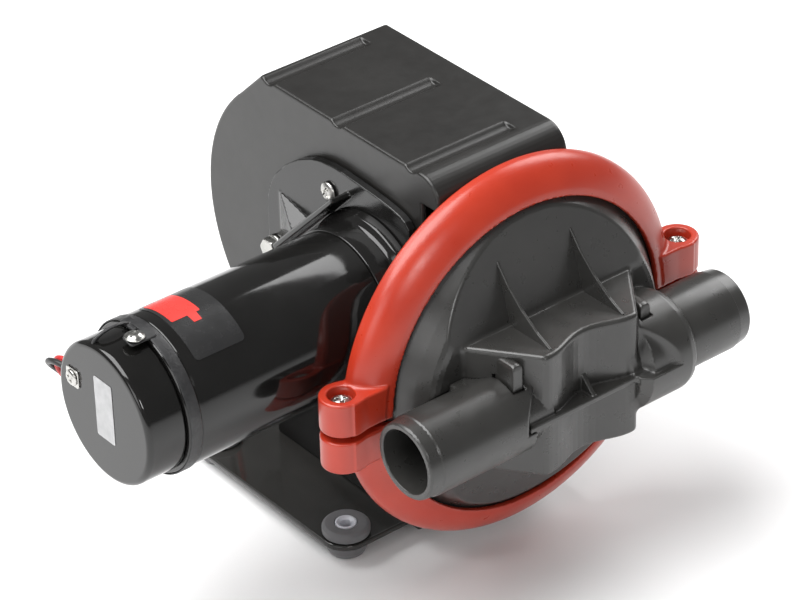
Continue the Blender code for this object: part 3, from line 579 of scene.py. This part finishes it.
# ------------------------------------------------------------ clamp ring
def bezier(a, b, c, d, steps):
    """Points along a cubic curve in a plane."""
    out = []
    for i in range(steps + 1):
        t = i / steps
        w = ((1 - t) ** 3, 3 * t * (1 - t) ** 2, 3 * t * t * (1 - t), t ** 3)
        out.append(tuple(w[0] * a[k] + w[1] * b[k] + w[2] * c[k] + w[3] * d[k] for k in (0, 1)))
    return out


RING_BACK = 17.6
# The clamp ring's section as (y, radius)
RING = bezier((0, 77.2), (0.9, 82.5), (6.5, 93.2), (13.5, 93.4), 26) + [
        (15.5, 93.4), (16.7, 92.7), (RING_BACK, 91.2), (RING_BACK, 79.6),
        (15.0, 79.6), (12.0, 85.2), (7.2, 85.2), (3.2, 77.2)]


def half_field(sign):
    """One half of the clamp ring with its two lugs: 1 the upper, -1 the lower."""
    low, high = (1.6, 18.5) if sign > 0 else (-17.6, -1.6)

    def field(x, y, z):
        hoop = meet(poly(y, np.hypot(x, z), RING), 1.5 - sign * z, 0.4)
        d = meet(hoop, slab(y, 0.0, RING_BACK), 1.2)
        ax = np.abs(x)
        hole = about(ax, y, (LUG_X, LUG_Y))
        post = hole - 10
        web = meet(slab(y, 0.5, 17.8), slab(ax, 76.0, LUG_X))
        ear = meet(join(post, web, 2.5), slab(z, low, high), 1.1)
        inner = 81.5 - np.hypot(x, z)
        ear = meet(ear, inner, 0.8)
        d = join(d, ear, 1.6)
        d = carve(d, hole - 2.9, 0.2)
        if sign > 0:
            return carve(d, meet(hole - 6.2, 13.5 - z), 0.6)
        return carve(d, meet(hexagon(ax - LUG_X, y - LUG_Y, 4.4), z + 13.2), 0.3)

    return field


for sign, word in ((1, "clamp_ring_upper"), (-1, "clamp_ring_lower")):
    bottom, top = (0.4, 95) if sign > 0 else (-95, -0.4)
    solid(word + "_visual", half_field(sign), (-110, -2, bottom), (110, 21, top), 0.8, RED,
          cad=[word], slot="red_plastic")


# ------------------------------------------------------------ screws
def phillips(height, radius):
    """Pan head with a cross recess; a is measured outward from the seat."""
    def field(a, u, v):
        r = np.hypot(u, v)
        dome = np.hypot(r, a + radius * 1.2) - math.hypot(radius, radius * 1.2) - height * 0.28
        head = meet(meet(r - radius, slab(a, 0, height), 0.5), meet(dome, -a), 0.4)
        arm = 0.9 * radius * (0.5 + 0.35 * a / height)
        cross = np.minimum(np.maximum(np.abs(u) - 0.19 * radius, np.abs(v) - arm),
                           np.maximum(np.abs(v) - 0.19 * radius, np.abs(u) - arm))
        cross = np.maximum(cross, 0.3 * height - a + 0.35 * r)
        return carve(head, cross, 0.15)

    return field


def screw(name, axis, seat, direction, centre, height, radius, shank, reach, turn, **rest):
    """A cross-head screw on an axis, its head standing in direction from the seat.

    height and radius are the head's, shank and reach the stem's radius and length, and
    turn is the angle of the cross in radians.
    """
    head = phillips(height, radius)
    c, s = math.cos(turn), math.sin(turn)

    def field(x, y, z):
        if axis == "X":
            a, u, v = (x - seat) * direction, y - centre[0], z - centre[1]
        else:
            a, u, v = (z - seat) * direction, x - centre[0], y - centre[1]
        u, v = c * u + s * v, -s * u + c * v
        d = head(a, u, v)
        return join(d, meet(np.hypot(u, v) - shank, slab(a, -reach, 0.4), 0.3), 0.1)

    ends = sorted((seat - direction * (reach + 1), seat + direction * (height + 1)))
    r = radius + 1
    if axis == "X":
        low = (ends[0], centre[0] - r, centre[1] - r)
        high = (ends[1], centre[0] + r, centre[1] + r)
    else:
        low = (centre[0] - r, centre[1] - r, ends[0])
        high = (centre[0] + r, centre[1] + r, ends[1])
    solid(name, field, low, high, 0.2, STEEL, slot="bright_steel", **rest)


for side, word in ((-1, "left"), (1, "right")):
    screw(f"clamp_screw_{word}_visual", "Z", 13.8, 1, (side * LUG_X, LUG_Y), 3.1, 4.8, 2.5, 31.2,
          0.5 + side, cad=[f"clamp_screw_{word}"])
screw("cover_screw_visual", "X", -40.1, -1, COVER_SCREW, 3.2, 4.8, 2.2, 8.4, 0.4,
      cad=["cover_screw"])
screw("end_cap_screw_visual", "X", -188.75, -1, CAP_SCREW, 1.45, 3.9, 2.0, 8.4, 0.9,
      cad=["end_cap_screw"])


def bolt_field(x, y, z):
    """Flanged hexagon bolt."""
    u, v = y - BRACKET_BOLT[0], z - BRACKET_BOLT[1]
    r = np.hypot(u, v)
    head = meet(hexagon(u, v, 5.0), slab(x, -45.6, -41.2), 0.4)
    head = meet(head, r - 5.2 - 0.9 * (x + 45.6), 0.2)
    rim = meet(r - 6.0, slab(x, -41.4, -40.1), 0.3)
    return join(join(head, rim, 0.3), meet(r - 3.0, slab(x, -42, -36), 0.3))


solid("bracket_bolt_visual", bolt_field, (-47, 124, 4), (-35, 140, 19), 0.4, STEEL,
      cad=["bracket_bolt"], slot="bright_steel")


# ------------------------------------------------------------ belt cover
# Its round back's centre and radius, its front and top, its two sides and its grooves' places
BACK, BACK_R = (110.0, 17.5), 80.0
FRONT, TOP = 18.2, 94.5
LEFT, RIGHT = -35.3, 38.8
WALL = 2.5
GROOVES = (37.0, 89.0, 139.0)


def cover_outline(inset, low, step):
    """The belt cover from the side; step is where its front stops above the pump body."""
    top, radius = TOP - inset, BACK_R - inset
    corner = 12.5 - min(inset, 3)
    front = FRONT + inset
    return ([(145.0 - inset, top)] + arc(*BACK, radius, 50, -38, 30)
            + [(155 - inset, low), (30 + inset, low), (30 + inset, step), (front, step)]
            + arc(front + corner, top - corner, corner, 180, 90, 10))


def belt_field(x, y, z):
    """The belt cover, hollow, with the doorway that the bracket stands in."""
    d = meet(poly(y, z, cover_outline(0, -60, 79.2)), slab(x, LEFT, RIGHT), 1.5)
    for gy in GROOVES:
        groove = np.hypot(y - gy, z - (TOP + 3.2)) - 5.2
        d = carve(d, meet(groove, x - 21.5, 1.0), 0.8)
    inner = poly(y, z, cover_outline(3.0, -66, 79))
    room = meet(inner, slab(x, LEFT + WALL, RIGHT - WALL))
    room = join(room, brick(x, y, z, LEFT + WALL, RIGHT - WALL, 15, 34, -70, 81.0))
    door = poly(y, z, [(44, -70), (138.5, -70), (138.5, 22), (128, 34), (100, 40), (44, 40)])
    room = join(room, meet(door, slab(x, -37, -30)))
    d = carve(d, room, 0.2)
    return carve(d, meet(about(y, z, COVER_SCREW) - 2.5, slab(x, -37, -31)), 0.1)


solid("belt_cover_visual", belt_field, (-37, 16.5, -62), (41, 192, 97), 1.0, SATIN,
      cad=["belt_cover"], slot="black_plastic")


# ------------------------------------------------------------ motor bracket and base
# The motor bracket's side plate as (y, z)
SIDE = [(32, SEAT_Z), (138, SEAT_Z), (138, 34), (136.5, 40), (134, 46), (131, 51), (127, 55),
        (123, 59.4), (118, 63), (113, 66.4), (108, 69), (103, 71.3), (97, 73), (90, 74), (82, 74.3),
        (68, 73.6), (54, 72.6), (46, 71.6), (40, 70.3), (36.5, 68.6), (34, 66)]


def bracket_field(x, y, z):
    """Side plate, foot, bearing boss, sloping ledge and brace."""
    d = meet(poly(y, z, SIDE), slab(x, -39.8, -35.8), 0.5)
    d = join(d, brick(x, y, z, -38, -14, 72, 136, SEAT_Z, -92, 0.4), 1.5)
    boss = about(y, z, CRANK)
    d = join(d, meet(boss - 18, slab(x, -38, -28.9), 0.5), 1.0)
    c = math.sqrt(0.5)
    out = (y - MOTOR[0]) * c + (z - MOTOR[1]) * c
    along = (y - MOTOR[0]) * c - (z - MOTOR[1]) * c
    ledge = meet(meet(slab(out, 40.8, 43.4), slab(along, -20, 45), 0.5), slab(x, -50, -38.5), 0.5)
    d = join(d, ledge, 0.6)
    d = join(d, brace_field(x, y, z), 0.4)
    d = carve(d, meet(boss - 14.2, slab(x, -38.1, -20)), 0.2)
    d = carve(d, about(y, z, MOTOR) - 13.0, 0.2)
    d = carve(d, about(y, z, COVER_SCREW) - 2.5, 0.1)
    return carve(d, about(y, z, BRACKET_BOLT) - 3.4, 0.1)


# The brace's corners as (x, y, z)
BRACE = np.array([(-38.6, 131, 45), (-38.6, 131, 21), (-38.6, 104, 38), (-48.5, 108, 33)], float)


def brace_field(x, y, z):
    """The pressed triangular brace, a tetrahedron's four planes."""
    d = None
    middle = BRACE.mean(0)
    for skip in range(4):
        p = np.delete(BRACE, skip, 0)
        n = np.cross(p[1] - p[0], p[2] - p[0])
        n /= np.linalg.norm(n)
        if n @ (middle - p[0]) > 0:
            n = -n
        s = (x - p[0][0]) * n[0] + (y - p[0][1]) * n[1] + (z - p[0][2]) * n[2]
        d = s if d is None else meet(d, s, 0.25)
    return d


solid("motor_bracket_visual", bracket_field, (-52, 30.5, -97.5), (-12.5, 140, 76), 0.95, BRACKET,
      cad=["motor_bracket"], slot="black_paint")


def plate_field(x, y, z):
    """The base plate with its holes."""
    plan = []
    for i, (cx, cy) in enumerate(((65.5, 154), (-65.5, 154), (-65.5, 54), (65.5, 54))):
        plan += arc(cx, cy, 12, 90 * i, 90 * i + 90, 8)
    d = meet(poly(x, y, plan), slab(z, *PLATE_Z), 0.7)
    for spot in FEET.values():
        d = carve(d, about(x, y, spot) - 6.8, 0.2)
    for spot in BENCH_SCREWS:
        d = carve(d, about(x, y, spot) - 2.8, 0.2)
    return d


solid("base_plate_visual", plate_field, (-80, 40, -100.5), (80, 168, -94.5), 0.75, PLATE,
      cad=["base_plate"], slot="black_paint")
for word, spot in FEET.items():
    lathe(f"foot_{word}_visual",
          [(GROUND, 5.4), (GROUND, 8.4, 0.8), (-103.5, 9.6, 0.8), (-99.3, 10.5, 0.7), (-99.3, 6.4),
           (SEAT_Z, 6.4), (SEAT_Z, 11.3, 0.7), (-92.2, 11.3, 1.3), (-90.8, 9.8, 1.2),
           (-90.8, 5.4, 0.4)],
          "Z", spot, RUBBER, 72, cad=[f"foot_{word}"], slot="black_rubber")
    lathe(f"foot_sleeve_{word}_visual",
          [(GROUND + 0.3, 2.8), (GROUND + 0.3, 5.1), (-90.5, 5.1, 0.5), (-90.5, 4.2, 0.2),
           (-91.3, 3.3, 0.5), (-91.6, 2.8, 0.3)],
          "Z", spot, INSERT, 48, cad=[f"foot_sleeve_{word}"], slot="bright_steel")


# ------------------------------------------------------------ motor
lathe("motor_can_visual",
      [(-58.3, CAN_BORE), (-58.3, CAN_R, 0.4), (-160.6, CAN_R, 0.2), (-161.0, CAN_R - 0.3, 0.1),
       (-161.4, CAN_R, 0.2), (-167.2, CAN_R, 0.4), (-168, 34.8, 0.3), (-168, CAN_BORE)],
      "X", MOTOR, GLOSS, 160, cad=["motor_can"], slot="black_paint")
lathe("motor_front_bell_visual",
      [(-58, CAN_BORE), (-58, 36.1, 0.6), (-47, 36.1, 2.5), (-44.5, 39.2, 1.2), (-40.1, 40, 0.5),
       (-40.1, 12.6), (-36.5, 12.6), (-36.5, 5), (-38.5, 5), (-38.5, 9.3), (-47.5, 9.3),
       (-47.5, 13), (-44.5, 13), (-44.5, 30), (-47, CAN_BORE)],
      "X", MOTOR, GLOSS, 160, cad=["motor_front_bell"], slot="black_paint")


def cap_field(x, y, z):
    """The motor's end cap, with a screw hole and the slot for the leads."""
    r = about(y, z, MOTOR)
    d = meet(r - CAP_R, CAP_END - x, 2.6)
    d = meet(d, x + 168.6, 0.5)
    d = carve(d, meet(r - 31.2, slab(x, -185.4, -160)), 0.3)
    d = carve(d, about(y, z, CAP_SCREW) - 2.4, 0.2)
    return carve(d, brick(x, y, z, -184.9, -177.1, 80, 97, 25, 29, 0.5), 0.2)


solid("motor_end_cap_visual", cap_field, (-189.5, 25, -13), (-167, 96, 57), 0.6, GLOSS,
      cad=["motor_end_cap"], slot="black_paint")
lathe("brush_cover_band_visual",
      [(-167.6, CAN_R + 0.12), (-167.6, CAN_R + 0.65, 0.3), (-161.9, CAN_R + 0.65, 0.3),
       (-161.9, CAN_R + 0.12)],
      "X", MOTOR, STRAP, 160, cad=["brush_cover_band"], slot="black_paint")


def loop_field(x, y, z):
    """Tab from the band over the cap's edge, with a standing loop behind the clip."""
    r = about(y, z, MOTOR)
    strip = meet(slab(x, -177.4, -163.5), slab(y, 50.4, 57.6), 1.5)
    tab = meet(slab(r, CAN_R + 0.4, CAN_R + 1.3), strip, 0.3)
    off = (y - 66.5) * 0.8 + (z - 55) * 0.2
    hoop = np.hypot(np.hypot((x + 176.0) / 2.1, z - 55.0) - 4.3, off) - 0.75
    hoop = np.maximum(hoop, 53.6 - z)
    foot = brick(x, y, z, -169.5, -164, 60, 70, 56.0, 57.6, 0.5)
    return join(np.minimum(tab, hoop * 0.8), foot, 0.4)


solid("band_loop_visual", loop_field, (-187, 48, 52), (-162, 72, 61.5), 0.35, STRAP,
      slot="black_paint")


def clip_field(x, y, z):
    """The strap's round clip with its slot."""
    u, v = x + 173.0, y - 54.0
    r = np.hypot(u, v)
    dome = meet(np.sqrt(u * u + v * v + (z - 55.2) ** 2) - 5.6, 58.6 - z, 0.3)
    brim = meet(r - 4.5, slab(z, 58.5, 59.2), 0.2)
    dome = meet(join(meet(dome, r - 4.0, 0.5), brim, 0.3), z - 60.6, 0.4)
    return carve(dome, meet(np.abs(v - 0.3 * u) - 0.5, 60.0 - z), 0.1)


solid("band_clip_visual", clip_field, (-178.5, 48.5, 57.8), (-167.5, 59.5, 61.5), 0.25, STEEL,
      slot="bright_steel")


# ------------------------------------------------------------ diaphragm
# One disc in two pieces: the rim stays with the body and the centre rides with the rod
lathe("diaphragm_rim_visual",
      [(8.7, 84.8, 0.3), (8.7, 66, 3), (6.0, 60, 6), (3.4, 51, 3), (5.13, 45), (7.35, 45),
       (5.4, 51, 3), (8.0, 59, 6), (10.6, 65.5, 3), (10.6, 84.8, 0.3)],
      "Y", (0, 0), RUBBER, cad=["diaphragm"], slot="black_rubber")
lathe("diaphragm_centre_visual",
      [(8.7, 3.4), (8.7, 36, 3), (6.0, 42, 4), (5.28, 44.5, 0.3), (7.51, 44.5, 0.3), (8.0, 43, 1),
       (10.6, 36.5, 3), (10.6, 3.4)],
      "Y", (0, 0), RUBBER, body="rod", slot="black_rubber")


# ------------------------------------------------------------ labels
STICKER = 0.12  # thickness


def wrap(name, x0, x1, a0, a1, radius, look, corner=2.5, edge=None):
    """A thin sticker bent round the motor can, with round corners.

    a0 and a1 are its edges in degrees up from the front. edge(t) is the share of its width
    cut from the first of them, with t running from 0 to 1 along x.
    """
    half = radius * math.radians(a1 - a0) / 2
    nx, na = 48, 64
    points, faces = [], []
    for i in range(nx + 1):
        x = x0 + (x1 - x0) * i / nx
        near = min(x - x0, x1 - x)
        trim = 0.0
        if near < corner:
            trim = corner - math.sqrt(max(0.0, corner ** 2 - (corner - near) ** 2))
        low = edge(i / nx) if edge else 0.0
        for k in range(na + 1):
            arc_at = -half + trim + (2 * half - 2 * trim) * (low + (1.0 - low) * k / na)
            a = math.radians((a0 + a1) / 2) + arc_at / radius
            points.append((x, a))
    count = len(points)
    verts = [world((x, MOTOR[0] - r * math.cos(a), MOTOR[1] + r * math.sin(a)))
             for r in (radius, radius - STICKER) for x, a in points]
    row = na + 1
    for i in range(nx):
        for k in range(na):
            q = [i * row + k, i * row + k + 1, (i + 1) * row + k + 1, (i + 1) * row + k]
            faces.append(q)
            faces.append([count + v for v in reversed(q)])
    rim = ([i * row for i in range(nx + 1)] + [nx * row + k for k in range(1, row)]
           + [i * row + na for i in range(nx - 1, -1, -1)] + [k for k in range(na - 1, 0, -1)])
    for a, b in zip(rim, rim[1:] + rim[:1]):
        faces.append([a, b, count + b, count + a])
    data = bpy.data.meshes.new(name)
    data.from_pydata(verts, [], faces)
    tidy_normals(data, 40)
    keep(name, data, look)


wrap("can_label_visual", -155.3, -128.7, 46, 120, CAN_R + 0.22, LABEL)
wrap("can_label_mark_visual", -153.5, -138.5, 73, 116, CAN_R + 0.36, LABEL_RED, 0.8,
     lambda t: 0.0 if 0.55 < t < 0.85 else 0.18)


def paper_field(x, y, z):
    """The end cap's blank label."""
    sheet = meet(slab(y, 52.2, 65.2), slab(z, 9.8, 40.0), 1.0)
    return meet(sheet, slab(x, CAP_END - 0.3, CAP_END), 0.05)


solid("cap_label_visual", paper_field, (-188.5, 51, 8.5), (-187.4, 66.5, 41.5), 0.22, PAPER)


def washer_field(x, y, z):
    """Square washer under the end cap's screw."""
    plate = meet(slab(y, 76.6, 85.4), slab(z, 26.6, 35.4), 1.3)
    plate = meet(plate, slab(x, -188.7, CAP_END - 0.02), 0.25)
    return carve(plate, about(y, z, CAP_SCREW) - 2.3, 0.2)


solid("cap_washer_visual", washer_field, (-189.3, 75.5, 25.5), (-187.3, 86.5, 36.5), 0.22, STEEL,
      slot="bright_steel")

# ------------------------------------------------------------ leads
LEAD_R = 1.4
# The leads' middle line from the end cap's slot to where they end behind the plate
LEAD_ROUTE = [(-181, 93.6, 27), (-182.3, 102, 26.5), (-180, 109.5, 20), (-173, 108.5, 9),
              (-160, 104.5, -1), (-120, 103, -10), (-92, 107, -22), (-72, 122, -42),
              (-58, 146, -68), (-46, 167, -90), (-26, 187, -104.4), (8, 197, -104.5),
              (42, 197, -104.5), (70, 189, -104.5)]


def smooth_route(anchors, spacing):
    """Catmull-Rom curve through the anchors, read at an even spacing."""
    pts = [Vector(p) for p in anchors]
    pts = [pts[0] * 2 - pts[1]] + pts + [pts[-1] * 2 - pts[-2]]
    dense = []
    for k in range(1, len(pts) - 2):
        p0, p1, p2, p3 = pts[k - 1:k + 3]
        for i in range(20):
            t = i / 20
            dense.append(0.5 * (2 * p1 + (p2 - p0) * t + (2 * p0 - 5 * p1 + 4 * p2 - p3) * t * t
                                + (3 * p1 - p0 - 3 * p2 + p3) * t ** 3))
    dense.append(pts[-2])
    length = sum((b - a).length for a, b in zip(dense, dense[1:]))
    count = max(2, round(length / spacing))
    out = [dense[0]]
    travelled = 0.0
    target = length / count
    for a, b in zip(dense, dense[1:]):
        step = (b - a).length
        while travelled + step >= target * len(out) and len(out) < count:
            out.append(a.lerp(b, (target * len(out) - travelled) / step))
        travelled += step
    out.append(dense[-1])
    return out


def lead(name, look, offset, cad):
    """One wire along the route, set aside from its middle, and its length in metres."""
    centre = smooth_route(LEAD_ROUTE, 8.5)
    points = []
    for i, point in enumerate(centre):
        ahead = centre[min(i + 1, len(centre) - 1)] - centre[max(i - 1, 0)]
        aside = Vector((ahead.y, -ahead.x, 0)).normalized()
        spot = point + aside * offset
        spot.z = max(spot.z, GROUND + LEAD_R + 0.1)
        points.append(world(spot))
    data = bpy.data.curves.new(name, "CURVE")
    data.dimensions = "3D"
    data.bevel_depth = LEAD_R * MM
    data.bevel_resolution = 5
    data.use_fill_caps = True
    data.resolution_u = 6
    spline = data.splines.new("BEZIER")
    spline.bezier_points.add(len(points) - 1)
    for item, point in zip(spline.bezier_points, points):
        item.co = point
        item.handle_left_type = item.handle_right_type = "AUTO"
    obj = bpy.data.objects.new(name, data)
    bpy.context.scene.collection.objects.link(obj)
    data.materials.append(look)
    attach(obj, "root")
    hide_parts(cad)
    length = sum((b - a).length for a, b in zip(points, points[1:]))
    return length


lead_lengths = [lead("lead_black_visual", BLACK_WIRE, -1.8, "lead_black"),
                lead("lead_red_visual", RED_WIRE, 1.8, "lead_red")]
print("leads", lead_lengths)

# ------------------------------------------------------------ CAD nodes that keep their own mesh
CARRIED = {
    STEEL: ["clamp_nut_left", "clamp_nut_right", "motor_bracket_screw_front",
            "motor_bracket_screw_rear", "pump_body_screw_left", "pump_body_screw_right",
            "diaphragm_plate", "diaphragm_screw", "crankshaft", "eccentric", "rod_bearing",
            "crank_bearing_left", "crank_bearing_right", "motor_shaft", "drive_pulley",
            "motor_bearing_front", "motor_bearing_rear"],
    CAST: ["pump_body", "connecting_rod", "driven_pulley"],
    RUBBER: ["drive_belt"],
    VALVE: ["inlet_valve", "outlet_valve"],
    IRON: ["armature_core"],
    COPPER: ["commutator"],
    FERRITE: ["magnet_upper", "magnet_lower"],
    CARBON: ["brush_upper", "brush_lower"],
    GLOSS: ["motor_rear_bell"],
}
for look, names in CARRIED.items():
    for name in names:
        data = frame["nodes"][name].data
        if not data.materials:
            data.materials.append(look)
        for i in range(len(data.materials)):
            data.materials[i] = look

# ------------------------------------------------------------ stage, lights, camera
mesh = bpy.data.meshes.new("floor")
level = (GROUND + SHIFT[2]) * MM - 0.0005
corners = [(-6, -6), (6, -6), (6, 6), (-6, 6)]
mesh.from_pydata([(x, y, level) for x, y in corners], [], [(0, 1, 2, 3)])
floor = bpy.data.objects.new("floor", mesh)
bpy.context.scene.collection.objects.link(floor)
mesh.materials.append(FLOOR)

sky = bpy.data.worlds.new("studio")
bpy.context.scene.world = sky
sky.use_nodes = True
shade = sky.node_tree.nodes["Background"]
shade.inputs["Color"].default_value = (1.0, 1.0, 1.0, 1)
shade.inputs["Strength"].default_value = 0.2
bpy.context.scene.view_settings.view_transform = "Standard"
AIM = Vector((0, 0, 0.05))


def lamp(name, spot, size, power):
    """An area light in the row frame's metres, aimed at the object."""
    data = bpy.data.lights.new(name, "AREA")
    data.shape = "RECTANGLE"
    data.size, data.size_y = size
    data.energy = power
    obj = bpy.data.objects.new(name, data)
    bpy.context.scene.collection.objects.link(obj)
    obj.location = spot
    obj.rotation_euler = (AIM - Vector(spot)).to_track_quat("-Z", "Y").to_euler()


lamp("overhead", (-0.8, 0.45, 2.0), (2.0, 2.0), 88)
lamp("front", (-0.65, -1.8, 1.2), (0.45, 0.45), 8)
lamp("left", (-1.8, -0.6, 0.8), (0.9, 0.8), 6)
lamp("right", (1.6, 0.4, 1.4), (1.2, 1.2), 24)

# The camera's angles, its distance and its shifts in working millimetres
AZIMUTH, ELEVATION, ROLL = math.radians(-38.24), math.radians(33.08), math.radians(-1.54)
DISTANCE, ASIDE, ABOVE = 1632.4, -57.57, 24.79
LENS = 164.85
back = Vector((math.sin(AZIMUTH) * math.cos(ELEVATION), -math.cos(AZIMUTH) * math.cos(ELEVATION),
               math.sin(ELEVATION)))
right = (-back).cross(Vector((0, 0, 1))).normalized()
up = right.cross(-back)
right2 = right * math.cos(ROLL) + up * math.sin(ROLL)
up2 = up * math.cos(ROLL) - right * math.sin(ROLL)
eye = world(back * DISTANCE + right2 * ASIDE + up2 * ABOVE)
camera = bpy.data.objects.new("camera", bpy.data.cameras.new("camera"))
bpy.context.scene.collection.objects.link(camera)
camera.data.lens = LENS
camera.data.sensor_width = 36
camera.data.clip_start = 0.05
camera.matrix_world = Matrix(((right2.x, up2.x, back.x, eye.x), (right2.y, up2.y, back.y, eye.y),
                              (right2.z, up2.z, back.z, eye.z), (0, 0, 0, 1)))
bpy.context.scene.camera = camera
